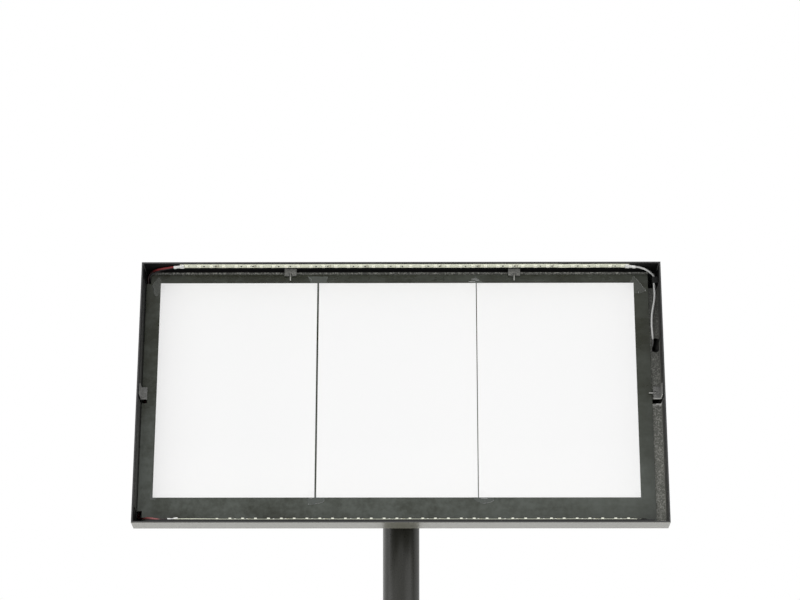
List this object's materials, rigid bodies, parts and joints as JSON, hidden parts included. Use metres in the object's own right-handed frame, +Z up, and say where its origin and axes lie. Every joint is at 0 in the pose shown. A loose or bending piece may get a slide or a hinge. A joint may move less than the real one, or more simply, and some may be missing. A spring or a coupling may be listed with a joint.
{
  "type": "illuminated notice board",
  "caption": "Open-fronted lit notice case with paper sheets on a dark board, light strips above and below, leaning back on a tilting head at the top of a round post with a base plate.",
  "frame": {"origin": "centre of the underside of the foot pads, below the post's axis", "axes": "+Z up along the post, +X to the reader's right, -Y towards the reader, whom the sheets face"},
  "size_m": [0.692, 0.4, 1.4926],
  "materials": {
    "powder_black": "satin black powder coat",
    "powder_textured": "fine textured dark grey powder coat",
    "post_paint": "satin warm dark grey powder coat",
    "zinc": "bright zinc plate",
    "dark_steel": "black oxide",
    "rubber_black": "matt",
    "rubber_grey": "matt",
    "nylon_black": "satin moulded",
    "friction_plastic": "smooth",
    "board_black": "smooth satin, lightly smudged",
    "paper": "matt white, blank",
    "clear_film": "clear film",
    "strip_tape": "white flexible circuit tape",
    "light_chip": "clear resin over pale yellow",
    "sleeve_white": "white shrunk sleeve",
    "lead_white": "white sheath",
    "wire_red": "smooth sheath",
    "wire_black": "smooth sheath",
    "driver_shell": "white shell",
    "block_white": "moulded"
  },
  "bodies": {
    "stand": {"base_plate": "powder_black", "foot_pads": "rubber_black", "post_flange": "powder_black", "flange_bolts": "zinc", "collar_grub_screws": "dark_steel", "post_tube": "post_paint", "gland_body": "nylon_black", "gland_seal": "rubber_grey", "gland_nut": "nylon_black", "post_cable_grommet": "rubber_black", "post_head": "powder_black", "head_screws": "zinc", "friction_washers": "friction_plastic", "pivot_bolt": "zinc", "pivot_washers": "zinc", "pivot_nut": "zinc"},
    "case": {"case_frame": "powder_black", "carrier_tray": "powder_textured", "backing_board": "board_black", "sheet_left": "paper", "sheet_middle": "paper", "sheet_right": "paper", "film_corners": "clear_film", "lug_top_left": "powder_black", "lug_top_right": "powder_black", "lug_left": "powder_black", "lug_right": "powder_black", "lug_screws": "powder_black", "board_ledge": "powder_textured", "strip_upper": "strip_tape", "chips_upper": "light_chip", "strip_lower": "strip_tape", "chips_lower": "light_chip", "strip_sleeves": "sleeve_white", "link_wire_red": "wire_red", "link_wire_black": "wire_black", "supply_lead": "lead_white", "lead_clip": "nylon_black", "rear_cover": "powder_black", "cover_studs": "zinc", "cover_washers": "zinc", "cover_nuts": "zinc", "cover_grommet": "rubber_black", "light_driver": "driver_shell", "driver_screws": "zinc", "terminal_block": "block_white", "driver_input_lead": "lead_white", "tilt_bracket": "powder_black", "backing_plate": "zinc", "bracket_bolts": "zinc", "bracket_nuts": "zinc"},
    "top_left_pin": {"pin_top_left": "zinc"},
    "top_right_pin": {"pin_top_right": "zinc"},
    "right_pin": {"pin_right": "zinc"}
  },
  "joints": [
    {"name": "case_tilt", "type": "hinge", "parent": "stand", "child": "case", "pos_m": [0, 0, 1.195], "axis": [1, 0, 0], "range_deg": [-30, 15]},
    {"name": "top_left_pin_slide", "type": "slide", "parent": "case", "child": "top_left_pin", "axis": [0, 0.2588, 0.9659], "range_m": [0, 0.0052]},
    {"name": "top_right_pin_slide", "type": "slide", "parent": "case", "child": "top_right_pin", "axis": [0, 0.2588, 0.9659], "range_m": [0, 0.0052]},
    {"name": "right_pin_slide", "type": "slide", "parent": "case", "child": "right_pin", "axis": [1, 0, 0], "range_m": [0, 0.0052]}
  ]
}
